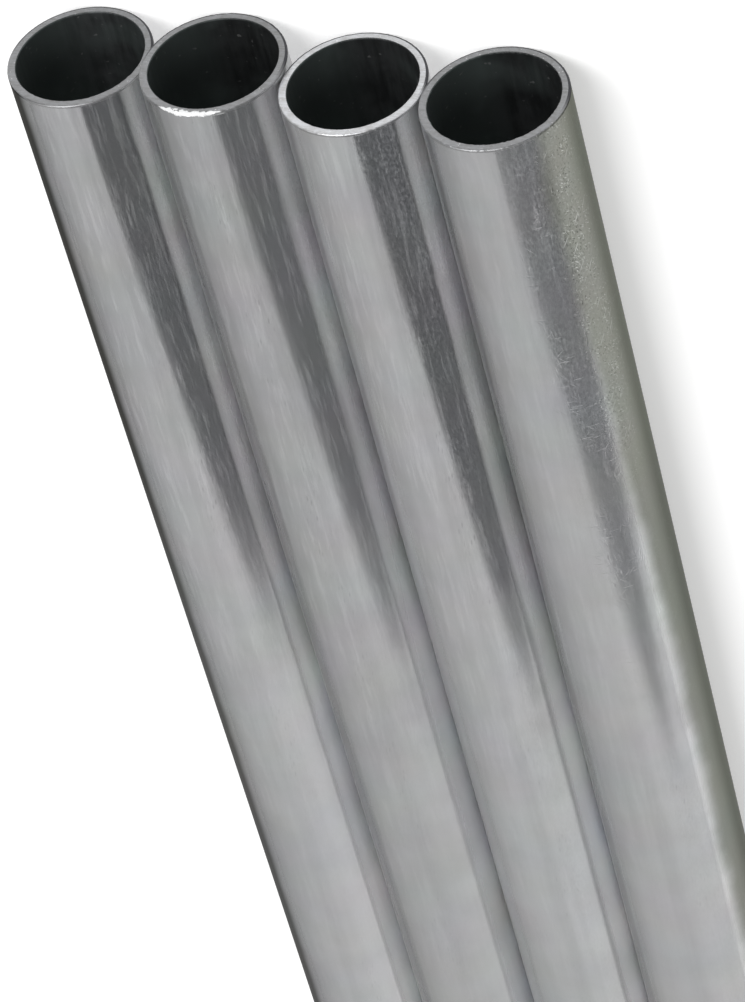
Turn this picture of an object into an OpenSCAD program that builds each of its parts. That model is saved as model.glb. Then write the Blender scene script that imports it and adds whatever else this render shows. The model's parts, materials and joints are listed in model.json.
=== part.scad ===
// Flat bundle of four round aluminium tubes, lying side by side on a level floor.
// Millimetres, +Z up. The tubes run along Y, and the origin is the middle of the
// bundle's footprint. Each tube is one piece of sawn stock, open at both ends.

/* [Tube] */
// Outside diameter
tube_diameter = 25; // [12:0.5:60]
// Wall thickness
wall = 1.5; // [0.8:0.1:4]
// Length that the stock is cut to
tube_length = 1000; // [200:10:3000]
// Edge break on the inner and outer rims of the sawn ends, at 45 degrees
deburr = 0.3; // [0.1:0.05:0.35]

/* [Bundle] */
// Number of tubes side by side
tube_count = 4; // [2:1:12]
// Space between neighbours, so that round walls never cross
tube_gap = 0.05; // [0.02:0.01:0.5]
// How far each tube reaches past the row's straight front line, from -X to +X
end_steps = [1.1, 0.8, 1.8, 0]; // [0:0.1:5]

/* [Hidden] */
$fn = 192;
outer_radius = tube_diameter / 2;
bore_radius = outer_radius - wall;
pitch = tube_diameter + tube_gap;
mill_grey = [0.66, 0.67, 0.68];

// Position of tube i along the row, with the row centred on X = 0
function row_x(i) = (i - (tube_count + 1) / 2) * pitch;

// A longer row repeats the list of steps
function end_step(i) = end_steps[(i - 1) % len(end_steps)];

// Centres the whole bundle on Y = 0, because each tube has the same length
function mid_step() =
    let (used = [for (i = [1 : tube_count]) end_step(i)])
    (min(used) + max(used)) / 2;

// Half section of the wall, from the front end up: radius against length
module wall_section() {
    polygon([
        [bore_radius + deburr, 0],
        [outer_radius - deburr, 0],
        [outer_radius, deburr],
        [outer_radius, tube_length - deburr],
        [outer_radius - deburr, tube_length],
        [bore_radius + deburr, tube_length],
        [bore_radius, tube_length - deburr],
        [bore_radius, deburr],
    ]);
}

// One length of tube, lying on the floor with its front end at Y = 0
module stock_tube() {
    translate([0, 0, outer_radius])
        rotate([-90, 0, 0])
            rotate_extrude()
                wall_section();
}

// Tube i in its place in the row
module tube(i) {
    color(mill_grey)
        translate([row_x(i), mid_step() - end_step(i) - tube_length / 2, 0])
            stock_tube();
}

for (i = [1 : tube_count])
    tube(i);
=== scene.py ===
"""Flat bundle of drawn aluminium tubes, with their sawn ends, wear and a small studio."""

import json
from collections import namedtuple
from math import atan2, degrees, pi, radians, tan

import bpy
from bpy.props import FloatProperty, FloatVectorProperty, IntProperty, PointerProperty
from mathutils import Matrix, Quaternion, Vector


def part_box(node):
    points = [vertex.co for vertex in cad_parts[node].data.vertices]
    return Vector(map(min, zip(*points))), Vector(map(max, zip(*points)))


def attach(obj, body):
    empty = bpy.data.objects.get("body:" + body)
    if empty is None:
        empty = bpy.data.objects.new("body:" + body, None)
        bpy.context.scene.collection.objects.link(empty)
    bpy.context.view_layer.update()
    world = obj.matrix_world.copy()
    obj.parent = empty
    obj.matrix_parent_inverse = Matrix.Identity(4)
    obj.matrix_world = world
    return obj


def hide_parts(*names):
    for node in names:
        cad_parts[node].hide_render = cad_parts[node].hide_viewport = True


bl_info = {
    "name": "Aluminium Tube Bundle",
    "version": (1, 0, 0),
    "blender": (4, 5, 0),
    "location": "3D View > Sidebar > Tubes",
    "description": "Builds a flat row of drawn aluminium tubes and a studio to look at it in",
    "category": "Add Mesh",
}

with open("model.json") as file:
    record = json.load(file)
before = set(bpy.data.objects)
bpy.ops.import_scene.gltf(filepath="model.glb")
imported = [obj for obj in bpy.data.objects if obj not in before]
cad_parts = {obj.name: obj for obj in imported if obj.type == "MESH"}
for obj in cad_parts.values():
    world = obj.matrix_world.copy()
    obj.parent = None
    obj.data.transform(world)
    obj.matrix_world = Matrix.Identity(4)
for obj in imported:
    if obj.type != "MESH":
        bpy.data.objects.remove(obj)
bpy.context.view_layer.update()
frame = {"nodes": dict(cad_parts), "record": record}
MM = 0.001

TUBES = sorted(n for n in frame["nodes"] if n.startswith("tube_"))
BORES = {m["name"]: m["dims"]["r_mm"] * MM for m in frame["record"]["mounts"]}
BOXES = {name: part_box(name) for name in TUBES}
FIRST_LOW, FIRST_HIGH = BOXES[TUBES[0]]
OUTER_RADIUS = (FIRST_HIGH.x - FIRST_LOW.x) / 2
TUBE_LENGTH = FIRST_HIGH.y - FIRST_LOW.y
WALL = OUTER_RADIUS - BORES["bore_1"]


# ---------------------------------------------------------------- sizes and colours


def per_tube(name, description, values, **limits):
    """A property with a value for each tube, from -X to +X. A longer row repeats the values."""
    return FloatVectorProperty(
        name=name,
        description=f"{description}, from -X to +X",
        size=len(TUBES),
        default=[values[i % len(values)] for i in range(len(TUBES))],
        **limits,
    )


def share_per_tube(name, description, values):
    """A property with a value from 0 to 1 for each tube."""
    return per_tube(name, description, values, min=0, max=1)


def colour_choice(name, description, default):
    """A property that holds a colour."""
    return FloatVectorProperty(
        name=name, description=description, subtype="COLOR", default=default, min=0, max=1
    )


class TubeShape(bpy.types.PropertyGroup):
    """Sizes of one length of tube and of its sawn ends"""

    wall: FloatProperty(
        name="Wall",
        description="Thickness of the tube wall",
        default=WALL,
        min=0.0002,
        unit="LENGTH",
    )
    edge_break: FloatProperty(
        name="Edge break",
        description="Width of the rounded inner and outer edges of the sawn ends",
        default=0.3 * MM,
        min=0.00005,
        unit="LENGTH",
    )
    facets: IntProperty(
        name="Facets",
        description="Number of flat faces round the tube",
        default=384,
        min=96,
    )
    outer_burr: per_tube(
        "Outer burr",
        "Unevenness of the outer lips of each tube",
        [0.12 * MM, 0.12 * MM, 0.12 * MM, 0.05 * MM],
        unit="LENGTH",
    )
    inner_burr: per_tube(
        "Inner burr",
        "Unevenness of the inner lips of each tube",
        [0.24 * MM, 0.08 * MM, 0.08 * MM, 0.14 * MM],
        unit="LENGTH",
    )
    torn_burr: per_tube(
        "Torn burr",
        "Height of the torn burr on top of each tube's near end",
        [0.0, 0.08 * MM, 0.8 * MM, 0.0],
        unit="LENGTH",
    )


class WallFinish(bpy.types.PropertyGroup):
    """Colours, wear, and painted light and shade of the drawn outside of the tubes"""

    metal: colour_choice("Metal", "Colour of clean drawn aluminium", (0.75, 0.755, 0.765))
    dull_metal: colour_choice(
        "Dull metal", "Colour of the duller streaks and clouds", (0.68, 0.685, 0.69)
    )
    # The -X flank's olive colours are painted shade, darker low on the flank, near the floor
    upper_flank_shade: colour_choice(
        "Light oxide",
        "Colour of the olive painted shade on the -X flank of the row",
        (0.31, 0.32, 0.285),
    )
    lower_flank_shade: colour_choice(
        "Dark oxide", "Colour of the darker painted shade low on that flank", (0.118, 0.127, 0.1)
    )
    # Painted shade along the +X flank of the row
    grime: colour_choice(
        "Grime",
        "Colour of the dark painted shade along the +X flank of the row",
        (0.07, 0.07, 0.065),
    )
    roughness: FloatProperty(
        name="Roughness",
        description="Roughness of clean drawn aluminium",
        subtype="FACTOR",
        default=0.12,
        min=0,
        max=1,
    )
    edge_tint: share_per_tube(
        "Edge tint", "How much each tube mirrors at a glancing angle", [0.85, 0.9, 0.9, 0.6]
    )
    tone: share_per_tube(
        "Tone", "How bright the metal of each tube is", [0.97, 0.99, 0.92, 0.99]
    )
    scuff_line: per_tube(
        "Scuff line",
        "Degrees from the top towards -X to each tube's line of scuffs",
        [38.0, 30.0, 11.0, 31.0],
    )
    # How much painted shade each tube has on each outer flank of the row
    left_shade_amount: share_per_tube(
        "Painted shade on the +X flank",
        "How much painted shade each tube has on its +X flank",
        [0.0, 0.0, 0.0, 1.0],
    )
    right_shade_amount: share_per_tube(
        "Painted shade on the -X flank",
        "How much painted shade each tube has on its -X flank",
        [1.0, 0.0, 0.0, 0.0],
    )
    handling: share_per_tube(
        "Handling marks",
        "How many cross scratches and nicks each tube has",
        [1.0, 0.3, 0.25, 0.25],
    )
    mottling: share_per_tube(
        "Mottling",
        "How strongly each tube's side is mottled near its ends",
        [0.75, 0.85, 0.2, 0.3],
    )
    haze: share_per_tube(
        "Haze", "How milky each tube's side is near its ends", [1.0, 0.05, 0.4, 0.05]
    )
    # Painted shade in the groove at the +X neighbour, with painted light below it
    groove_shade: share_per_tube(
        "Groove film",
        "How much each tube is darkened where it meets its +X neighbour",
        [0.22, 0.0, 0.26, 0.0],
    )
    groove_start: per_tube(
        "Groove shade start",
        "Degrees from the top towards +X where that painted shade starts",
        [30.0, 38.0, 25.0, 38.0],
    )
    # Painted shade in a line above the -X neighbour, and painted light below it
    contact_line: share_per_tube(
        "Contact line",
        "How dark the line above each tube's -X neighbour is",
        [0.0, 0.1, 0.25, 0.2],
    )
    polished: share_per_tube(
        "Polished contact",
        "How much brighter each tube is below that line",
        [0.0, 0.0, 0.0, 0.12],
    )
    flattened: per_tube(
        "Flattened side",
        "Degrees that the side against its -X neighbour leans up",
        [0.0, 2.2, 1.0, 3.0],
    )


class EndFinish(bpy.types.PropertyGroup):
    """Colours of the sawn ends and of the bores, with painted shade and light in the bores"""

    sawn: share_per_tube(
        "Sawn metal", "How bright the sawn end of each tube is", [0.28, 0.57, 0.28, 0.27]
    )
    # Painted shade keeps the inside near black at the mouths, and the +X side has greenish painted
    # light
    bore: colour_choice("Bore", "Colour of the dull metal inside the tubes, darkened by painted shade", (0.04, 0.043, 0.044))
    bore_side_light: colour_choice(
        "Bore side light",
        "Colour of the greenish painted light on the +X side inside the tubes",
        (0.07, 0.085, 0.082),
    )
    bore_lightness: per_tube(
        "Bore film",
        "How light the inside of each tube is",
        [0.9, 1.0, 0.8, 1.7],
        min=0,
        max=3,
    )
    bore_roughness: FloatProperty(
        name="Bore roughness",
        description="Roughness of the metal inside the tubes",
        subtype="FACTOR",
        default=0.5,
        min=0,
        max=1,
    )


class Studio(bpy.types.PropertyGroup):
    """Camera, floor and light"""

    lens: FloatProperty(name="Lens", description="Focal length in millimetres", default=189.3)
    eye: FloatVectorProperty(
        name="Eye",
        description="Where the camera stands",
        subtype="XYZ",
        unit="LENGTH",
        default=(-0.36075, -1.04765, 0.574),
    )
    azimuth: FloatProperty(
        name="Azimuth",
        description="Direction that the camera looks in, from +Y towards +X",
        subtype="ANGLE",
        default=radians(29.46),
    )
    dip: FloatProperty(
        name="Dip",
        description="How far the camera looks down",
        subtype="ANGLE",
        default=radians(36.96),
    )
    roll: FloatProperty(
        name="Roll",
        description="Turn of the camera about its own line of sight",
        subtype="ANGLE",
        default=radians(-152.88),
    )
    floor: colour_choice("Floor", "Colour of the floor", (0.7, 0.7, 0.7))
    floor_glow: FloatProperty(
        name="Floor glow",
        description="Light that the floor adds where it is seen or mirrored, to show white",
        default=0.42,
        min=0,
    )
    sky: FloatProperty(
        name="Sky",
        description="Brightness of the soft light from all round",
        default=0.575,
        min=0,
    )
    sky_slope: FloatProperty(
        name="Sky slope",
        description="How much brighter the -X side of the sky is than its middle",
        default=0.13,
        min=0,
    )
    softbox_power: FloatProperty(
        name="Softbox power",
        description="Power of the softbox above the near ends",
        unit="POWER",
        default=45.0,
        min=0,
    )
    card: colour_choice(
        "Card",
        "Colour of the dark card that the tubes mirror as a long band",
        (0.178, 0.182, 0.188),
    )


# ---------------------------------------------------------------- node helpers


def node(tree, kind, inputs=(), **settings):
    """Adds a shader node. Each input is given a value, or is linked to a socket."""
    made = tree.nodes.new("ShaderNode" + kind)
    made.location.x = 190 * len(tree.nodes)
    for name, value in settings.items():
        setattr(made, name, value)
    for name, value in dict(inputs).items():
        if isinstance(value, bpy.types.NodeSocket):
            tree.links.new(value, made.inputs[name])
        else:
            made.inputs[name].default_value = value
    return made


def calc(tree, operation, *values, clamp=False):
    """A Math node's result."""
    return node(tree, "Math", enumerate(values), operation=operation, use_clamp=clamp).outputs[0]


def chained(tree, operation, values):
    """The values joined two by two with one operation."""
    result = values[0]
    for value in values[1:]:
        result = calc(tree, operation, result, value)
    return result


def total(tree, *values):
    """The sum of the values."""
    return chained(tree, "ADD", values)


def product(tree, *values):
    """The values multiplied together."""
    return chained(tree, "MULTIPLY", values)


def greatest(tree, *values):
    """The greatest of the values."""
    return chained(tree, "MAXIMUM", values)


def remap(tree, value, low, high, to_low=0.0, to_high=1.0, kind="SMOOTHSTEP"):
    """value taken from low..high to to_low..to_high, held at both ends."""
    inputs = {
        "Value": value,
        "From Min": low,
        "From Max": high,
        "To Min": to_low,
        "To Max": to_high,
    }
    return node(tree, "MapRange", inputs, interpolation_type=kind).outputs["Result"]


def beside(tree, value, line, low, high, strength=1.0):
    """strength up to the distance low from a line, and 0 beyond the distance high."""
    off = calc(tree, "ABSOLUTE", calc(tree, "SUBTRACT", value, line))
    return remap(tree, off, low, high, strength, 0.0)


def blend(tree, amount, first, second):
    """The colour first, going over to second as amount goes from 0 to 1."""
    mix = node(tree, "Mix", {"Factor": amount}, data_type="RGBA")
    for socket, value in ((mix.inputs[6], first), (mix.inputs[7], second)):
        if isinstance(value, bpy.types.NodeSocket):
            tree.links.new(value, socket)
        else:
            socket.default_value = (*value, 1)
    return mix.outputs[2]


def times(tree, vector, scale):
    """The vector or colour times scale, channel by channel."""
    return node(tree, "VectorMath", {0: vector, 1: scale}, operation="MULTIPLY").outputs[0]


def noise(tree, vector, scale, detail=2.0, roughness=0.5):
    """A noise from 0 to 1, with its middle at 0.5."""
    inputs = {"Vector": vector, "Scale": scale, "Detail": detail, "Roughness": roughness}
    return node(tree, "TexNoise", inputs).outputs["Fac"]


def noise_colour(tree, vector, scale):
    """A colour near white, that drifts a little in each of its channels."""
    inputs = {"Vector": vector, "Scale": scale, "Detail": 2.0, "Roughness": 0.5}
    colour = node(tree, "TexNoise", inputs).outputs["Color"]
    inputs = {0: colour, 1: (0.08, 0.08, 0.08), 2: (0.96, 0.96, 0.96)}
    return node(tree, "VectorMath", inputs, operation="MULTIPLY_ADD").outputs[0]


def group(name, inputs, outputs, fill):
    """A node group, built once. inputs is {name: default, or None for a vector}."""
    if name in bpy.data.node_groups:
        return bpy.data.node_groups[name]
    tree = bpy.data.node_groups.new(name, "ShaderNodeTree")
    for label, default in inputs.items():
        kind = "NodeSocketVector" if default is None else "NodeSocketFloat"
        socket = tree.interface.new_socket(label, in_out="INPUT", socket_type=kind)
        if default is not None:
            socket.default_value = default
    for label in outputs:
        kind = "NodeSocketVector" if label == "Unrolled" else "NodeSocketFloat"
        tree.interface.new_socket(label, in_out="OUTPUT", socket_type=kind)
    given = tree.nodes.new("NodeGroupInput").outputs
    results = fill(tree, given)
    end = tree.nodes.new("NodeGroupOutput")
    end.location.x = 190 * len(tree.nodes)
    for label, value in zip(outputs, results):
        tree.links.new(value, end.inputs[label])
    return tree


def use(tree, used, **inputs):
    """Places a node group, with its inputs named in small letters. Returns its outputs."""
    made = node(tree, "Group", node_tree=used)
    for name, value in inputs.items():
        socket = made.inputs[name.replace("_", " ").capitalize()]
        if isinstance(value, bpy.types.NodeSocket):
            tree.links.new(value, socket)
        else:
            socket.default_value = value
    return made.outputs


# ---------------------------------------------------------------- node groups

# Angle from the top to the middle of the torn burr, and from there to its ends
TORN_MIDDLE = 2
TORN_REACH = 31

# Kinds of strokes: (degrees from the tube's line, width, length, share)
DENTS = ((30.0, 0.00028, 0.0006, 0.7), (115.0, 0.00026, 0.0005, 0.7))
NICKS = (
    (45.0, 0.00024, 0.0008, 0.3),
    (66.0, 0.00022, 0.0006, 0.3),
    (12.0, 0.00022, 0.0008, 0.3),
    (-38.0, 0.00028, 0.0026, 0.14),
)
CROSS_SCRATCHES = (
    (7.0, 0.00022, 0.0026, 0.25),
    (-12.0, 0.0002, 0.0018, 0.25),
    (38.0, 0.0002, 0.0022, 0.2),
    (84.0, 0.0002, 0.0026, 0.25),
    (-47.0, 0.0002, 0.0020, 0.15),
)
FLECKS = ((4.0, 0.0003, 0.0018, 0.5),)
PITS = ((-6.0, 0.00032, 0.0016, 0.5),)
RINGS = ((87.0, 0.0003, 0.005, 0.5),)


def fill_round_coordinates(tree, given):
    parts = node(tree, "SeparateXYZ", {0: given["Vector"]}).outputs
    to_minus_x = calc(tree, "MULTIPLY", parts["X"], -1.0)
    angle = calc(tree, "ARCTAN2", to_minus_x, parts["Z"])
    arc = calc(tree, "MULTIPLY", angle, OUTER_RADIUS)
    unrolled = node(tree, "CombineXYZ", {"X": arc, "Y": parts["Y"]}).outputs[0]
    beyond = calc(tree, "SUBTRACT", TUBE_LENGTH, parts["Y"])
    return calc(tree, "DEGREES", angle), calc(tree, "MINIMUM", parts["Y"], beyond), unrolled


def round_coordinates():
    """Degrees from the top towards -X, metres from the nearer end, and the unrolled surface."""
    return group(
        "Round Coordinates",
        {"Vector": None},
        ("Angle", "Along", "Unrolled"),
        fill_round_coordinates,
    )


def fill_die_lines(tree, given):
    across = calc(tree, "DIVIDE", 1.0, given["Width"])
    along = calc(tree, "DIVIDE", 1.0, given["Length"])
    scale = node(tree, "CombineXYZ", {"X": across, "Y": along, "Z": across}).outputs[0]
    return (noise(tree, times(tree, given["Vector"], scale), 1.0, 3.0, 0.6),)


def die_lines():
    """Lines along the tube, as the drawing die leaves them, from 0 to 1."""
    return group(
        "Die Lines",
        {"Vector": None, "Width": 0.0004, "Length": 0.03},
        ("Value",),
        fill_die_lines,
    )


def fill_strokes(tree, given):
    turn = {"Vector": given["Vector"], "Angle": given["Direction"]}
    turned = node(tree, "VectorRotate", turn, rotation_type="Z_AXIS").outputs[0]
    wide = calc(tree, "DIVIDE", 1.0, given["Width"])
    long = calc(tree, "DIVIDE", 1.0, given["Length"])
    scale = node(tree, "CombineXYZ", {"X": wide, "Y": long}).outputs[0]
    cells = {"Vector": times(tree, turned, scale), "Scale": given["Density"]}
    dots = node(tree, "TexVoronoi", cells, voronoi_dimensions="2D")
    near = remap(tree, dots.outputs["Distance"], 0.10, 0.30, 1.0, 0.0)
    chance = node(tree, "SeparateColor", {0: dots.outputs["Color"]}).outputs[0]
    kept = calc(tree, "DIVIDE", chance, given["Share"])
    kept = calc(tree, "SUBTRACT", 1.0, kept, clamp=True)
    return (product(tree, near, kept),)


def strokes():
    """Short straight marks in one direction over the unrolled tube, a few strong, most faint."""
    return group(
        "Strokes",
        {
            "Vector": None,
            "Direction": 0.0,
            "Width": 0.0002,
            "Length": 0.005,
            "Density": 0.5,
            "Share": 0.4,
        },
        ("Value",),
        fill_strokes,
    )


def scattered_strokes(tree, unrolled, kinds):
    """The strokes of several kinds together."""
    marks = 0.0
    for turn, width, length, share in kinds:
        mark = use(
            tree,
            strokes(),
            vector=unrolled,
            direction=radians(turn),
            width=width,
            length=length,
            share=share,
        )["Value"]
        marks = calc(tree, "MAXIMUM", marks, mark)
    return marks


def fill_flank(tree, given):
    wobble = noise(tree, given["Vector"], 60.0, 4.0, 0.6)
    shift = calc(tree, "MULTIPLY_ADD", wobble, 2.0, -1.0)
    angle = total(tree, given["Angle"], product(tree, shift, given["Wobble"]))
    start = calc(tree, "SUBTRACT", given["Start"], given["Softness"])
    end = calc(tree, "ADD", given["Start"], given["Softness"])
    return (remap(tree, angle, start, end),)


def flank():
    """A mask that starts at an angle from the top, with an uneven edge."""
    return group(
        "Flank",
        {"Vector": None, "Angle": 0.0, "Start": 70.0, "Softness": 4.0, "Wobble": 12.0},
        ("Value",),
        fill_flank,
    )


def fill_lip_marks(tree, given):
    parts = node(tree, "SeparateXYZ", {0: given["Local"]}).outputs
    flat = node(tree, "CombineXYZ", {"X": parts["X"], "Z": parts["Z"]}).outputs[0]
    radius = node(tree, "VectorMath", {0: flat}, operation="LENGTH").outputs["Value"]
    inward = calc(tree, "SUBTRACT", OUTER_RADIUS, radius)
    beyond = calc(tree, "SUBTRACT", TUBE_LENGTH, parts["Y"])
    to_end = calc(tree, "MINIMUM", calc(tree, "ABSOLUTE", parts["Y"]), beyond)
    step = node(tree, "CombineXYZ", {"X": inward, "Y": to_end}).outputs[0]
    distance = node(tree, "VectorMath", {0: step}, operation="LENGTH").outputs["Value"]

    # Painted shade on the lips where they face the floor
    under = remap(tree, calc(tree, "ABSOLUTE", given["Angle"]), 78.0, 104.0)
    lip_shade = product(tree, under, remap(tree, distance, 0.00044, 0.00036))
    ragged = remap(tree, noise(tree, given["Vector"], 900.0, 3.0, 0.6), 0.35, 0.65, 0.3, 1.0)
    turn = calc(tree, "SUBTRACT", given["Angle"], float(TORN_MIDDLE))
    turn = calc(tree, "DIVIDE", calc(tree, "ABSOLUTE", turn), float(TORN_REACH))
    near_end = remap(tree, parts["Y"], 0.01, 0.02, 1.0, 0.0)
    middle = remap(tree, turn, 0.3, 1.0, 1.0, 0.0)
    reach = product(tree, middle, ragged, near_end, given["Torn"])
    burr = remap(tree, calc(tree, "SUBTRACT", distance, reach), 0.00005, -0.00005)
    burr = product(tree, burr, calc(tree, "GREATER_THAN", given["Torn"], 0.0))
    return lip_shade, burr, remap(tree, distance, 0.0006, 0.0004)


def lip_marks():
    """Masks of the outer lips: painted shade where they face the floor, the torn burr, and all of
    them.
    """
    return group(
        "Lip Marks",
        {"Vector": None, "Local": None, "Angle": 0.0, "Torn": 0.0},
        ("Lip shade", "Burr", "Lip"),
        fill_lip_marks,
    )


def fill_streaks(tree, given):
    thin = use(tree, die_lines(), vector=given["Vector"], width=0.00045, length=0.007)
    wide = use(tree, die_lines(), vector=given["Vector"], width=0.0014, length=0.02)
    streaks = total(tree, product(tree, thin["Value"], 0.6), product(tree, wide["Value"], 0.4))
    streaks = remap(tree, streaks, 0.36, 0.64, -1.0, 1.0, kind="LINEAR")
    return (product(tree, streaks, given["Worn"]),)


def fine_streaks():
    """Light and dark streaks along the tube, from -1 to 1, as strong as it is worn."""
    return group("Fine Streaks", {"Vector": None, "Worn": 1.0}, ("Value",), fill_streaks)


def fill_grains(tree, given):
    grain = noise(tree, times(tree, given["Vector"], (2600.0, 1200.0, 2600.0)), 1.0, 2.0, 0.6)
    grain = remap(tree, grain, 0.34, 0.66, -1.0, 1.0, kind="LINEAR")
    first = remap(tree, given["Along"], 0.0, 0.1, 20.0, 33.0, kind="LINEAR")
    mottled = product(
        tree,
        remap(tree, calc(tree, "SUBTRACT", given["Angle"], first), -3.0, 4.0),
        remap(tree, given["Angle"], 52.0, 62.0, 1.0, 0.0),
        remap(tree, given["Along"], 0.02, 0.12, 1.0, 0.15),
        remap(tree, given["Patches"], 0.0, 1.0, 0.5, 1.0),
    )
    return (product(tree, grain, mottled, given["Strength"]),)


def grains():
    """Fine light and dark grains, from -1 to 1, on the -X side of a tube near its ends."""
    return group(
        "Grains",
        {"Vector": None, "Angle": 0.0, "Along": 0.0, "Patches": 1.0, "Strength": 1.0},
        ("Value",),
        fill_grains,
    )


def fill_handling(tree, given):
    side = use(
        tree,
        flank(),
        vector=given["Vector"],
        angle=given["Angle"],
        start=52.0,
        softness=12.0,
        wobble=14.0,
    )["Value"]
    handled = product(
        tree,
        side,
        remap(tree, given["Angle"], 70.0, 92.0, 1.0, 0.1),
        remap(tree, given["Along"], 0.045, 0.09, 1.0, 0.1),
        given["Amount"],
    )
    grit = noise(tree, times(tree, given["Vector"], (1.0, 0.6, 1.0)), 2300.0, 2.0, 0.6)
    clusters = remap(tree, noise(tree, given["Vector"], 260.0, 3.0), 0.38, 0.62, 0.25, 1.0)
    return handled, grit, product(tree, handled, clusters)


def handling():
    """Where a tube's side is worn by handling near its ends, and the grit and nicks on it."""
    return group(
        "Handling",
        {"Vector": None, "Angle": 0.0, "Along": 0.0, "Amount": 1.0},
        ("Handled", "Grit", "Nicked"),
        fill_handling,
    )


def fill_marks(tree, given):
    dents = product(tree, scattered_strokes(tree, given["Unrolled"], DENTS), given["Nicked"])
    marks = scattered_strokes(tree, given["Unrolled"], NICKS)
    marks = product(tree, marks, product(tree, given["Nicked"], 1.5))
    flecks = scattered_strokes(tree, given["Unrolled"], FLECKS)
    marks = greatest(tree, marks, product(tree, flecks, given["Scuffed"], 0.28))
    chain = beside(tree, given["Angle"], 56.0, 1.5, 5.0)
    chain = product(tree, chain, product(tree, given["Handled"], 2.0))
    pits = scattered_strokes(tree, given["Unrolled"], PITS)
    return dents, marks, product(tree, pits, greatest(tree, given["Scuffed"], chain))


def marks():
    """Dents, light marks and pits, on the handled side and on the line of scuffs."""
    return group(
        "Marks",
        {"Unrolled": None, "Angle": 0.0, "Handled": 1.0, "Nicked": 1.0, "Scuffed": 1.0},
        ("Dents", "Marks", "Pits"),
        fill_marks,
    )


def fill_scratches(tree, given):
    zone = product(
        tree,
        remap(tree, given["Angle"], 8.0, 24.0),
        remap(tree, given["Angle"], 58.0, 75.0, 1.0, 0.3),
        remap(tree, given["Along"], 0.08, 0.15, 0.3, 0.08),
        remap(tree, given["Patches"], 0.0, 1.0, 0.4, 1.0),
    )
    scratches = scattered_strokes(tree, given["Unrolled"], CROSS_SCRATCHES)
    ring_zone = product(
        tree,
        beside(tree, given["Along"], 0.016, 0.003, 0.006, 0.5),
        remap(tree, given["Angle"], 14.0, 25.0),
        remap(tree, given["Angle"], 50.0, 60.0, 1.0, 0.0),
    )
    rings = scattered_strokes(tree, given["Unrolled"], RINGS)
    scratches = greatest(tree, product(tree, scratches, zone), product(tree, rings, ring_zone))
    return (product(tree, scratches, given["Amount"]),)


def cross_scratches():
    """Scratches across a much handled tube, and rings close to its ends."""
    return group(
        "Cross Scratches",
        {"Unrolled": None, "Angle": 0.0, "Along": 0.0, "Patches": 1.0, "Amount": 1.0},
        ("Value",),
        fill_scratches,
    )


def fill_flank_shades(tree, given):
    fading_away = remap(tree, given["Along"], 0.24, 0.4, 1.0, 0.3)

    # The -X flank's painted shade starts lower down away from the handled end
    start = total(
        tree,
        remap(tree, given["Along"], 0.03, 0.065, 51.0, 59.0),
        remap(tree, given["Along"], 0.06, 0.12, 0.0, 7.0),
    )
    oxide = use(
        tree,
        flank(),
        vector=given["Vector"],
        angle=given["Angle"],
        start=start,
        softness=remap(tree, given["Along"], 0.06, 0.14, 9.0, 12.0),
        wobble=9.0,
    )["Value"]
    turned_back = calc(tree, "MULTIPLY", given["Angle"], -1.0)
    grime = use(
        tree,
        flank(),
        vector=given["Vector"],
        angle=turned_back,
        start=26.0,
        softness=10.0,
        wobble=3.0,
    )["Value"]
    fade = product(tree, remap(tree, turned_back, 60.0, 95.0, 1.0, 0.25), fading_away)
    lessening = remap(tree, given["Along"], 0.07, 0.15, 1.0, 0.9)
    return (
        product(tree, oxide, fading_away, given["Oxide"]),
        product(tree, grime, fade, product(tree, lessening, given["Grime"])),
    )


def flank_shades():
    """Masks of the painted shade on the -X flank and on the +X flank of a tube."""
    return group(
        "Flank Shades",
        {"Vector": None, "Angle": 0.0, "Along": 0.0, "Oxide": 1.0, "Grime": 1.0},
        ("Oxide", "Grime"),
        fill_flank_shades,
    )


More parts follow.
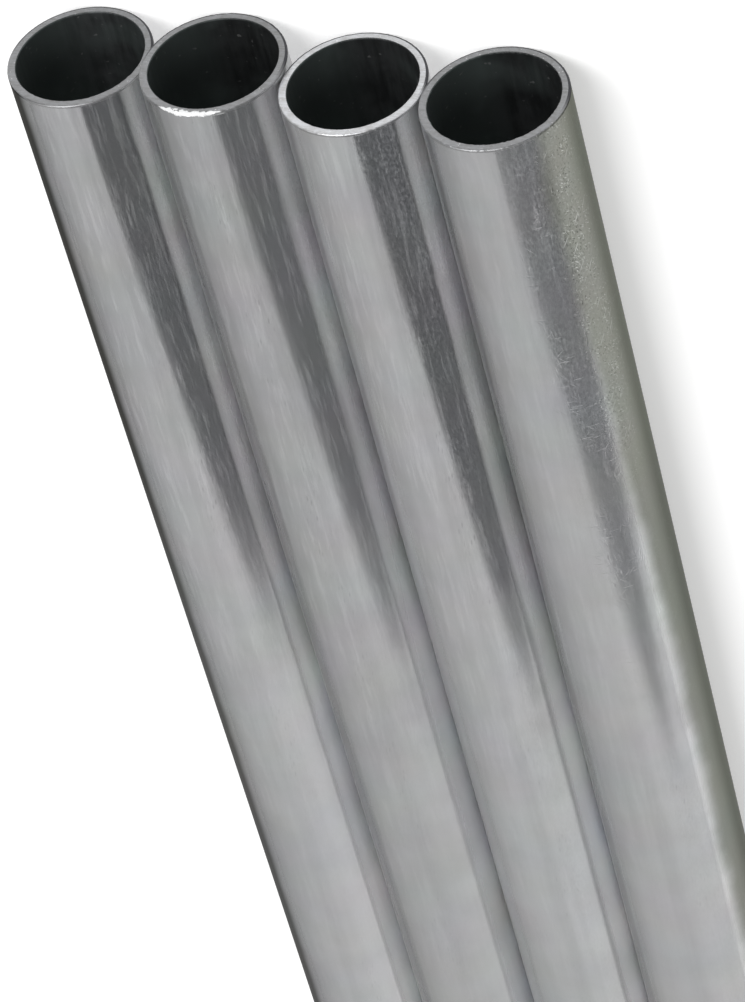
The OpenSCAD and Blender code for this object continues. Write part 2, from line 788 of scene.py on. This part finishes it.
def fill_neighbour_shade(tree, given):
    angle, along = given["Angle"], given["Along"]
    turned_back = calc(tree, "MULTIPLY", angle, -1.0)

    # Away from the ends the -X flanks get painted brightness, and the +X ones painted shade
    middle = remap(tree, along, 0.09, 0.16)
    painted_end = calc(tree, "ADD", given["Clean line"], 6.0)
    shade = product(tree, remap(tree, angle, given["Clean line"], painted_end), middle)
    shade = calc(tree, "MULTIPLY_ADD", shade, given["Cleaner"], 1.0)
    dimmed = product(tree, remap(tree, angle, -30.0, -44.0), middle)
    shade = calc(tree, "MULTIPLY_ADD", dimmed, -0.12, shade)

    # Painted shade lines the groove at the +X neighbour, down to the contact, with painted light
    # below it
    film_line = total(tree, remap(tree, along, 0.08, 0.13, 0.0, 5.0), given["Film line"])
    past = calc(tree, "SUBTRACT", turned_back, film_line)
    groove_shade_end = remap(tree, along, 0.08, 0.13, 12.0, 17.0)
    in_groove = product(
        tree,
        remap(tree, past, -3.0, 3.0),
        remap(tree, calc(tree, "SUBTRACT", past, groove_shade_end), -4.0, 4.0, 1.0, 0.1),
        remap(tree, along, 0.08, 0.13, 1.0, 1.1),
    )
    shade = calc(tree, "SUBTRACT", shade, product(tree, in_groove, given["Film"]))
    lit_below_groove = product(tree, remap(tree, turned_back, 46.0, 54.0), middle)
    lit_below_groove = product(tree, lit_below_groove, given["Film"])
    shade = calc(tree, "MULTIPLY_ADD", lit_below_groove, 0.65, shade)

    # Near the ends a line of painted shade runs above the -X neighbour, with painted light below it
    near = remap(tree, along, 0.075, 0.115, 1.0, 0.0)
    above = product(tree, remap(tree, angle, 51.0, 54.0), near)
    contact = product(tree, above, remap(tree, angle, 55.5, 61.0, 1.0, 0.0))
    shade = calc(tree, "SUBTRACT", shade, product(tree, contact, given["Contact"]))
    polished = product(tree, remap(tree, angle, 59.0, 66.0), near)
    shade = calc(tree, "MULTIPLY_ADD", polished, given["Polished"], shade)

    # Painted shade runs in a line beside the dark band
    shade_line = beside(tree, angle, 19.0, 2.0, 9.0)
    shade_line = product(tree, shade_line, remap(tree, along, 0.01, 0.12, 0.17, 0.05))
    return (calc(tree, "SUBTRACT", shade, shade_line),)


def neighbour_shade():
    """Painted light and shade on the metal for its place between its neighbours, 1 where there is
    none.
    """
    inputs = {"Angle": 0.0, "Along": 0.0, "Clean line": 51.0, "Cleaner": 0.36}
    inputs |= {"Film line": 38.0, "Film": 0.0, "Contact": 0.0, "Polished": 0.0}
    return group("Neighbour Shade", inputs, ("Value",), fill_neighbour_shade)


# ---------------------------------------------------------------- materials

# Painted shade on the lower outer lips, which face the floor
UNDER_LIP_SHADE = (0.06, 0.06, 0.065)
# Torn metal, painted bright and matte as the burr's glint
TORN_METAL_GLINT = (0.86, 0.865, 0.87)
SCRAPED_METAL = (0.72, 0.73, 0.71)
CUT_SPECKS = (0.85, 0.85, 0.86)
BORE_SPECKS = (0.25, 0.25, 0.25)

# Angles between which a tube's side leans towards its -X neighbour, where it is flattened
LEAN_FROM = 43.0
LEAN_TO = 69.0
STEEPEST_OF_RAMP = 1.5

# From this share of handling marks on, a tube's marks have depth and cross scratches
HEAVY_HANDLING = 0.5

# Where a point lies on its tube. local starts at the middle of the near end, and along is
# the distance from the nearer end
Place = namedtuple("Place", "coordinates local unrolled angle along")


def blank_material(name):
    """A new material and its tree, which is empty."""
    material = bpy.data.materials.new(name)
    material.use_nodes = True
    material.node_tree.nodes.clear()
    return material, material.node_tree


def finish_metal(tree, colour, roughness, height, edge_tint=(1, 1, 1), metallic=1.0):
    """Joins colour, roughness and height in metres to a metal surface."""
    inputs = {"Height": height, "Distance": 1.0, "Strength": 1.0}
    normal = node(tree, "Bump", inputs).outputs[0]
    surface = node(
        tree,
        "BsdfPrincipled",
        {
            "Base Color": colour,
            "Metallic": metallic,
            "Roughness": roughness,
            "Normal": normal,
            "Specular Tint": (*edge_tint, 1),
        },
    )
    node(tree, "OutputMaterial", {"Surface": surface.outputs[0]})


def place_on_tube(tree, low, high):
    """Where the shaded point lies on the tube whose box is low to high."""
    coordinates = node(tree, "TexCoord").outputs["Object"]
    centre = (low + high) / 2
    move = {"Vector": coordinates, "Location": (-centre.x, -low.y, -centre.z)}
    local = node(tree, "Mapping", move).outputs[0]
    found = use(tree, round_coordinates(), vector=local)
    return Place(coordinates, local, found["Unrolled"], found["Angle"], found["Along"])


def lip_masks(tree, place, torn):
    """Masks of the painted shade, of the torn burr and of all of the outer lips."""
    found = use(
        tree,
        lip_marks(),
        vector=place.coordinates,
        local=place.local,
        angle=place.angle,
        torn=torn,
    )
    return found["Lip shade"], found["Burr"], found["Lip"]


def drawn_wall(index, low, high, shape, finish):
    """The outside of one tube: die lines, clouds, scuffs and nicks, with painted light and shade on
    the row's flanks and between the tubes.
    """
    material, tree = blank_material(f"drawn_wall_{index + 1}")
    place = place_on_tube(tree, low, high)
    coordinates, angle, along = place.coordinates, place.angle, place.along
    amount = finish.handling[index]
    side_shaded = finish.right_shade_amount[index]

    fine = use(tree, die_lines(), vector=coordinates, width=0.0005, length=0.012)["Value"]
    broad = use(tree, die_lines(), vector=coordinates, width=0.004, length=0.1)["Value"]
    clouds = noise(tree, coordinates, 90.0, 4.0, 0.55)
    patches = noise(tree, times(tree, coordinates, (200.0, 50.0, 200.0)), 1.0, 2.0)
    patches = remap(tree, patches, 0.4, 0.6)

    # Wear is thickest on one line and near the ends
    near_end = remap(tree, along, 0.06, 0.2, 1.0, 0.4)
    on_line = product(tree, beside(tree, angle, finish.scuff_line[index], 5.0, 15.0), patches)
    worn = product(tree, calc(tree, "MULTIPLY_ADD", on_line, 0.25, 0.45), near_end)
    worn = product(tree, worn, 1.15 - 0.5 * amount)
    streaks = use(tree, fine_streaks(), vector=coordinates, worn=worn)["Value"]
    scuffed = product(tree, on_line, near_end)
    worked = use(
        tree, handling(), vector=coordinates, angle=angle, along=along, amount=amount
    )
    found = use(
        tree,
        marks(),
        unrolled=place.unrolled,
        angle=angle,
        handled=worked["Handled"],
        nicked=worked["Nicked"],
        scuffed=scuffed,
    )
    dents, light_marks, pits = found["Dents"], found["Marks"], found["Pits"]
    if amount >= HEAVY_HANDLING:
        scratches = use(
            tree,
            cross_scratches(),
            unrolled=place.unrolled,
            angle=angle,
            along=along,
            patches=patches,
            amount=amount,
        )["Value"]
        light_marks = greatest(tree, light_marks, scratches)
    grain = use(
        tree,
        grains(),
        vector=coordinates,
        angle=angle,
        along=along,
        patches=patches,
        strength=finish.mottling[index],
    )["Value"]
    haze = product(
        tree,
        remap(tree, angle, 10.0, 26.0),
        remap(tree, along, 0.1, 0.17, 1.0, 0.0),
        finish.haze[index],
    )
    shades = use(
        tree,
        flank_shades(),
        vector=coordinates,
        angle=angle,
        along=along,
        oxide=side_shaded,
        grime=finish.left_shade_amount[index],
    )
    oxide, grime = shades["Oxide"], shades["Grime"]
    lip_shade, burr, lip = lip_masks(tree, place, shape.torn_burr[index])

    dull = total(tree, product(tree, broad, 0.5), product(tree, clouds, 0.5))
    colour = blend(tree, remap(tree, dull, 0.35, 0.65), finish.metal, finish.dull_metal)
    colour = times(tree, colour, (finish.tone[index],) * 3)
    # Painted light and shade for the tube's place between its neighbours
    brightness = use(
        tree,
        neighbour_shade(),
        angle=angle,
        along=along,
        clean_line=56.0 if side_shaded > 0 else 51.0,
        cleaner=0.36 - 0.48 * side_shaded,
        film_line=finish.groove_start[index],
        film=finish.groove_shade[index],
        contact=finish.contact_line[index],
        polished=finish.polished[index],
    )["Value"]
    colour = times(tree, colour, brightness)
    # Painted shade on the -X flank of the row: olive, darker towards the floor, lighter near the
    # end
    film = blend(tree, remap(tree, angle, 70.0, 100.0), finish.upper_flank_shade, finish.lower_flank_shade)
    film = times(tree, film, remap(tree, along, 0.06, 0.1, 1.16, 0.98))
    colour = blend(tree, oxide, colour, film)
    # Painted shade along the +X flank of the row
    colour = blend(tree, grime, colour, finish.grime)
    speckled = remap(tree, worked["Grit"], 0.3, 0.7, 0.85, 1.2, kind="LINEAR")
    speckled = calc(tree, "SUBTRACT", speckled, 1.0)
    shade = calc(tree, "MULTIPLY_ADD", speckled, worked["Nicked"], 1.0)
    for mask, strength in (
        (streaks, 0.025),
        (grain, 0.22),
        # Painted shade dims the highlight on the outer lips
        (lip, -0.35),
        (pits, -0.22),
        (dents, -0.6),
    ):
        shade = calc(tree, "MULTIPLY_ADD", mask, strength, shade)
    colour = times(tree, colour, times(tree, noise_colour(tree, coordinates, 70.0), shade))
    colour = blend(tree, product(tree, light_marks, 0.5), colour, SCRAPED_METAL)
    # Painted shade on the lower outer lips, which face the floor
    colour = blend(tree, lip_shade, colour, UNDER_LIP_SHADE)
    # Painted glint on the torn burr, which is bright torn metal
    colour = blend(tree, burr, colour, TORN_METAL_GLINT)

    # The sides that lie against a neighbour are rubbed dull
    far_line = 58.0 if side_shaded > 0 else 48.0
    rub_line = remap(tree, along, 0.08, 0.15, 58.0, far_line)
    other_side = 0.8 if finish.groove_shade[index] > 0 else 1.0
    rubbed = greatest(
        tree,
        remap(tree, calc(tree, "SUBTRACT", angle, rub_line), 0.0, 14.0),
        remap(tree, angle, -16.0, -34.0, 0.0, other_side),
    )
    roughness = total(
        tree,
        finish.roughness - 0.06,
        product(tree, clouds, 0.07),
        product(tree, fine, 0.05),
        product(tree, oxide, 0.22),
        product(tree, grime, 0.6),
        product(tree, haze, 0.04),
        product(tree, rubbed, 0.2),
        product(tree, lip, 0.3),
    )
    lost = total(
        tree,
        product(tree, greatest(tree, streaks, 0.0), 0.27),
        product(tree, haze, 0.11),
        product(tree, greatest(tree, grain, 0.0), 0.07),
        product(tree, light_marks, 0.4),
        product(tree, burr, 0.8),
    )
    metallic = calc(tree, "SUBTRACT", 1.0, lost, clamp=True)

    # The first height is a ramp, whose middle leans the surface by the stated angle
    lean = tan(radians(finish.flattened[index])) / STEEPEST_OF_RAMP
    heights = [
        product(
            tree,
            remap(tree, angle, LEAN_FROM, LEAN_TO),
            lean * OUTER_RADIUS * radians(LEAN_TO - LEAN_FROM),
        ),
        product(tree, fine, 0.000004),
        product(tree, broad, 0.000010),
        product(tree, streaks, 0.000003),
        product(tree, worked["Grit"], worked["Nicked"], 0.000015),
    ]
    if amount >= HEAVY_HANDLING:
        heights += [
            product(tree, dents, -0.000015),
            product(tree, light_marks, -0.00002),
            product(tree, pits, -0.00001),
        ]
    edge_tint = (finish.edge_tint[index],) * 3
    finish_metal(tree, colour, roughness, total(tree, *heights), edge_tint, metallic)
    return material


def sawn_end(index, low, high, shape, finish):
    """The cut face of one tube: fine saw lines, mottling, bright specks, painted shade on the lower
    lips, and torn metal with a painted glint.
    """
    material, tree = blank_material(f"sawn_end_{index + 1}")
    place = place_on_tube(tree, low, high)
    grey = finish.sawn[index]
    lines = noise(tree, times(tree, place.coordinates, (180.0, 0.0, 3800.0)), 1.0, 3.0, 0.6)
    mottle = noise(tree, place.coordinates, 900.0, 3.0, 0.6)
    specks = remap(tree, noise(tree, place.coordinates, 2300.0, 1.0), 0.68, 0.8, 0.0, 0.7)
    tone = total(tree, product(tree, lines, 0.5), product(tree, mottle, 0.5))
    tone = remap(tree, tone, 0.35, 0.65)
    colour = blend(tree, tone, (grey * 0.8,) * 3, (grey * 1.12, grey * 1.14, grey * 1.18))
    colour = blend(tree, specks, colour, CUT_SPECKS)
    lip_shade, burr, _ = lip_masks(tree, place, shape.torn_burr[index])
    # Painted shade on the lower outer lips, and a painted glint on the torn burr
    colour = blend(tree, lip_shade, colour, UNDER_LIP_SHADE)
    colour = blend(tree, burr, colour, TORN_METAL_GLINT)
    roughness = remap(tree, mottle, 0.3, 0.7, 0.36, 0.5, kind="LINEAR")
    metallic = calc(tree, "MULTIPLY_ADD", burr, -0.8, 1.0)
    height = total(tree, product(tree, lines, 0.00002), product(tree, mottle, 0.00003))
    finish_metal(tree, colour, roughness, height, metallic=metallic)
    return material


def dull_bore(index, low, high, finish):
    """The inside of one tube: painted shade towards its mouths, greenish painted light on its +X
    side, faint streaks, blots and a few specks.
    """
    material, tree = blank_material(f"dull_bore_{index + 1}")
    place = place_on_tube(tree, low, high)
    coordinates = place.coordinates
    light = [min(1.0, value * finish.bore_lightness[index]) for value in finish.bore]
    dark = [value * 0.5 for value in light]
    streaks = use(tree, die_lines(), vector=coordinates, width=0.0012, length=0.012)["Value"]
    blots = noise(tree, coordinates, 260.0, 3.0)
    specks = remap(tree, noise(tree, coordinates, 900.0, 1.0), 0.70, 0.78, 0.0, 0.35)
    tone = total(tree, product(tree, streaks, 0.5), product(tree, blots, 0.5))
    colour = blend(tree, remap(tree, tone, 0.36, 0.64), dark, light)
    # Greenish painted light on the +X side of the bore, with blots of it elsewhere
    to_plus_x = node(tree, "SeparateXYZ", {0: place.local}).outputs["X"]
    side_lit = total(
        tree,
        remap(tree, to_plus_x, 0.002, 0.011),
        remap(tree, noise(tree, coordinates, 110.0, 1.0), 0.5, 0.7, 0.0, 0.5),
    )
    colour = blend(tree, calc(tree, "MINIMUM", side_lit, 1.0), colour, finish.bore_side_light)
    # Painted shade darkens the bore towards its mouths, and deeper in it is lighter
    colour = times(tree, colour, remap(tree, place.along, 0.008, 0.034, 0.85, 5.5))
    colour = blend(tree, specks, colour, BORE_SPECKS)
    roughness = remap(tree, streaks, 0.3, 0.7, finish.bore_roughness - 0.1, finish.bore_roughness)
    height = product(tree, total(tree, streaks, blots), 0.00001)
    finish_metal(tree, colour, roughness, height, metallic=0.5)
    return material


# ---------------------------------------------------------------- modelling helpers


def deselect():
    """Leaves nothing selected, in Object Mode."""
    if bpy.context.object and bpy.context.object.mode != "OBJECT":
        bpy.ops.object.mode_set(mode="OBJECT")
    bpy.ops.object.select_all(action="DESELECT")


def pick(piece):
    """Makes piece the only selected object, and the active one."""
    deselect()
    piece.select_set(True)
    bpy.context.view_layer.objects.active = piece


def apply_modifier(piece, kind, **settings):
    """Adds a modifier to the active piece, and applies it."""
    added = piece.modifiers.new(kind.title(), kind)
    for name, value in settings.items():
        setattr(added, name, value)
    bpy.ops.object.modifier_apply(modifier=added.name)


# ---------------------------------------------------------------- pieces

# Distances of the rings of faces from each end, closest where the lips are worked
RING_STEPS = (0.0005, 0.0007, 0.002, 0.006, 0.015, 0.03, 0.06, 0.1, 0.15, 0.2, 0.3, 0.4)
# Numbers of the tube's materials
WALL_SLOT, BORE_SLOT, END_SLOT = range(3)
FINE_BURR = 0.0006
COARSE_BURR = 0.0015


def plain_tube(shape):
    """One length of tube along Y, centred on the origin, with a wall and rounded lips."""
    deselect()
    bpy.ops.mesh.primitive_cylinder_add(
        vertices=shape.facets,
        radius=OUTER_RADIUS,
        depth=TUBE_LENGTH,
        end_fill_type="NOTHING",
        rotation=(pi / 2, 0, 0),
    )
    tube = bpy.context.object
    bpy.ops.object.transform_apply(location=False, rotation=True, scale=False)
    for slot in (WALL_SLOT, BORE_SLOT, END_SLOT):
        tube.data.materials.append(None)
    bpy.ops.object.mode_set(mode="EDIT")
    for step in RING_STEPS:
        for y in (step - TUBE_LENGTH / 2, TUBE_LENGTH / 2 - step):
            bpy.ops.mesh.select_all(action="SELECT")
            bpy.ops.mesh.bisect(plane_co=(0, y, 0), plane_no=(0, 1, 0))
    bpy.ops.mesh.select_all(action="SELECT")
    bpy.ops.mesh.normals_make_consistent(inside=False)
    bpy.ops.object.mode_set(mode="OBJECT")
    apply_modifier(
        tube,
        "SOLIDIFY",
        thickness=shape.wall,
        offset=-1,
        material_offset=BORE_SLOT,
        material_offset_rim=END_SLOT,
    )
    apply_modifier(
        tube,
        "BEVEL",
        width=shape.edge_break,
        segments=3,
        limit_method="ANGLE",
        angle_limit=radians(50),
    )
    return tube


def mark_lips(tube, shape):
    """Puts the points of the rounded lips in vertex groups, for the burrs."""
    ends = TUBE_LENGTH / 2 - 1.1 * shape.edge_break
    middle = OUTER_RADIUS - shape.wall / 2
    groups = {name: tube.vertex_groups.new(name=name) for name in ("outer", "inner", "torn")}
    for point in tube.data.vertices:
        x, y, z = point.co
        if abs(y) < ends:
            continue
        radius = Vector((x, z)).length
        groups["outer" if radius > middle else "inner"].add([point.index], 1.0, "REPLACE")
        turn = abs(degrees(atan2(-x, z)) - TORN_MIDDLE) / TORN_REACH
        if y < 0 and radius > middle and turn < 1:
            groups["torn"].add([point.index], 1 - turn**2, "REPLACE")


def burr_texture(name, size):
    """The uneven height of a burr round the lips."""
    texture = bpy.data.textures.new(name, "CLOUDS")
    texture.noise_scale = size
    texture.noise_depth = 3
    return texture


class BUNDLE_OT_tubes(bpy.types.Operator):
    """Models one tube and lays a copy with its own finish and burrs in each place of the row"""

    bl_idname = "bundle.tubes"
    bl_label = "Tubes"
    bl_options = {"REGISTER", "UNDO"}

    def execute(self, context):
        settings = context.scene
        shape = settings.tube_shape
        master = plain_tube(shape)
        mark_lips(master, shape)
        fine = burr_texture("fine_burr", FINE_BURR)
        coarse = burr_texture("coarse_burr", COARSE_BURR)
        for index, name in enumerate(TUBES):
            low, high = BOXES[name]
            tube = master.copy()
            tube.data = master.data.copy()
            tube.name = tube.data.name = f"drawn_{name}"
            context.collection.objects.link(tube)
            pick(tube)
            tube.location = (low + high) / 2
            tube.location.z = OUTER_RADIUS
            context.view_layer.update()
            for lip, height, texture, middle in (
                ("outer", shape.outer_burr[index], fine, 0.5),
                ("inner", shape.inner_burr[index], fine, 0.5),
                ("torn", shape.torn_burr[index], coarse, 0.1),
            ):
                if height > 0:
                    apply_modifier(
                        tube,
                        "DISPLACE",
                        texture=texture,
                        texture_coords="GLOBAL",
                        vertex_group=lip,
                        strength=height,
                        mid_level=middle,
                    )
            bpy.ops.object.transform_apply(location=True, rotation=False, scale=False)
            bpy.ops.object.shade_smooth_by_angle(angle=radians(35))
            slots = tube.data.materials
            slots[WALL_SLOT] = drawn_wall(index, low, high, shape, settings.wall_finish)
            slots[BORE_SLOT] = dull_bore(index, low, high, settings.end_finish)
            slots[END_SLOT] = sawn_end(index, low, high, shape, settings.end_finish)
            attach(tube, "root")
            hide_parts(name)
        bpy.data.objects.remove(master)
        return {"FINISHED"}


# ---------------------------------------------------------------- studio


FLOOR_SIZE = 30


def add_floor(studio):
    """A wide pale floor under the row. It shows white, and keeps the row's shadow."""
    deselect()
    bpy.ops.mesh.primitive_plane_add(size=FLOOR_SIZE)
    floor = bpy.context.object
    floor.name = "floor"
    material, tree = blank_material("floor")
    base = node(tree, "BsdfDiffuse", {"Color": (*studio.floor, 1)}).outputs[0]
    rays = node(tree, "LightPath").outputs
    looks = ("Is Camera Ray", "Is Glossy Ray", "Is Transmission Ray")
    seen = greatest(tree, *(rays[look] for look in looks))
    strength = product(tree, seen, studio.floor_glow)
    glow = node(tree, "Emission", {"Strength": strength}).outputs[0]
    both = node(tree, "AddShader", {0: base, 1: glow}).outputs[0]
    node(tree, "OutputMaterial", {"Surface": both})
    floor.data.materials.append(material)


# Front edge of the card, from the floor up: (y, z) in metres from the near ends
CARD_EDGE = (
    (0.52, 0.0),
    (0.625, 0.09),
    (0.72, 0.195),
    (0.815, 0.33),
    (0.92, 0.53),
    (1.075, 0.8),
    (1.25, 1.085),
    (1.45, 1.41),
    (1.74, 1.84),
    (2.6, 3.07),
)
# Where the card stands beside the row, and how far it reaches back from its front edge
CARD_X = -0.6
CARD_WIDTH = 1.6


def add_card(studio):
    """A dark card beside the row, outside the view, which the tubes mirror as one long band."""
    deselect()
    bpy.ops.mesh.primitive_grid_add(x_subdivisions=1, y_subdivisions=len(CARD_EDGE) - 1, size=1)
    card = bpy.context.object
    card.name = "dark_card"
    near_end = min(low.y for low, _ in BOXES.values())
    for corner in card.data.vertices:
        y, z = CARD_EDGE[corner.index // 2]
        back = CARD_WIDTH * (corner.index % 2)
        corner.co = (CARD_X, near_end + y - back, z)
    material, tree = blank_material("dark_card")
    surface = node(tree, "BsdfDiffuse", {"Color": (*studio.card, 1)}).outputs[0]
    node(tree, "OutputMaterial", {"Surface": surface})
    card.data.materials.append(material)
    card.visible_camera = card.visible_diffuse = card.visible_shadow = False


SOFTBOX_AT = (0.35, -1.75, 2.1)
SOFTBOX_AIM = Vector((0, -0.4, 0))
SOFTBOX_SIZE = 1.6


def add_light(studio):
    """A soft sky, a little brighter on the -X side, and a softbox above the near ends."""
    world = bpy.data.worlds.new("studio")
    world.use_nodes = True
    tree = world.node_tree
    tree.nodes.clear()
    direction = node(tree, "TexCoord").outputs["Generated"]
    x = node(tree, "SeparateXYZ", {0: direction}).outputs["X"]
    level = calc(tree, "MULTIPLY_ADD", x, -studio.sky_slope, studio.sky)
    level = calc(tree, "SUBTRACT", level, remap(tree, x, 0.5, 0.85, 0.0, 0.12))
    sky = node(tree, "Background", {"Color": (1, 1, 1, 1), "Strength": level})
    node(tree, "OutputWorld", {"Surface": sky.outputs[0]})
    bpy.context.scene.world = world

    deselect()
    bpy.ops.object.light_add(type="AREA", location=SOFTBOX_AT)
    softbox = bpy.context.object
    softbox.name = "softbox"
    softbox.data.size = SOFTBOX_SIZE
    softbox.data.energy = studio.softbox_power
    aim = SOFTBOX_AIM - softbox.location
    softbox.rotation_euler = aim.to_track_quat("-Z", "Y").to_euler()


SENSOR_WIDTH = 36
FARTHEST_SEEN = 100


def add_camera(studio):
    """A camera above the near ends, turned so that they come to the top of its picture."""
    deselect()
    bpy.ops.object.camera_add(location=studio.eye)
    camera = bpy.context.object
    camera.data.lens = studio.lens
    camera.data.sensor_width = SENSOR_WIDTH
    ahead = Vector((0, 1, 0))
    ahead.rotate(Quaternion((1, 0, 0), -studio.dip))
    ahead.rotate(Quaternion((0, 0, 1), -studio.azimuth))
    camera.rotation_mode = "QUATERNION"
    upright = ahead.to_track_quat("-Z", "Y")
    camera.rotation_quaternion = upright @ Quaternion((0, 0, 1), studio.roll)
    camera.data.clip_end = FARTHEST_SEEN
    bpy.context.scene.camera = camera


class BUNDLE_OT_studio(bpy.types.Operator):
    """Adds the floor, the card, the light and the camera"""

    bl_idname = "bundle.studio"
    bl_label = "Studio"
    bl_options = {"REGISTER", "UNDO"}

    def execute(self, context):
        studio = context.scene.bundle_studio
        add_floor(studio)
        add_card(studio)
        add_light(studio)
        add_camera(studio)
        context.scene.view_settings.view_transform = "Standard"
        return {"FINISHED"}


# ---------------------------------------------------------------- add-on


class BUNDLE_PT_panel(bpy.types.Panel):
    """Lists the bundle's pieces and sizes"""

    bl_idname = "BUNDLE_PT_panel"
    bl_label = "Tube Bundle"
    bl_space_type = "VIEW_3D"
    bl_region_type = "UI"
    bl_category = "Tubes"

    def draw(self, context):
        for operator in OPERATORS:
            self.layout.operator(operator)
        for name in SETTINGS:
            box = self.layout.box()
            settings = getattr(context.scene, name)
            for prop in settings.bl_rna.properties:
                if prop.identifier not in ("name", "rna_type"):
                    box.prop(settings, prop.identifier)


SETTINGS = {
    "tube_shape": TubeShape,
    "wall_finish": WallFinish,
    "end_finish": EndFinish,
    "bundle_studio": Studio,
}
OPERATORS = ("bundle.tubes", "bundle.studio")
CLASSES = (*SETTINGS.values(), BUNDLE_OT_tubes, BUNDLE_OT_studio, BUNDLE_PT_panel)


def register():
    for used in CLASSES:
        bpy.utils.register_class(used)
    for name, used in SETTINGS.items():
        setattr(bpy.types.Scene, name, PointerProperty(type=used))


def unregister():
    for name in SETTINGS:
        delattr(bpy.types.Scene, name)
    for used in reversed(CLASSES):
        bpy.utils.unregister_class(used)


def main():
    register()
    bpy.ops.bundle.tubes()
    bpy.ops.bundle.studio()


if __name__ == "__main__":
    main()
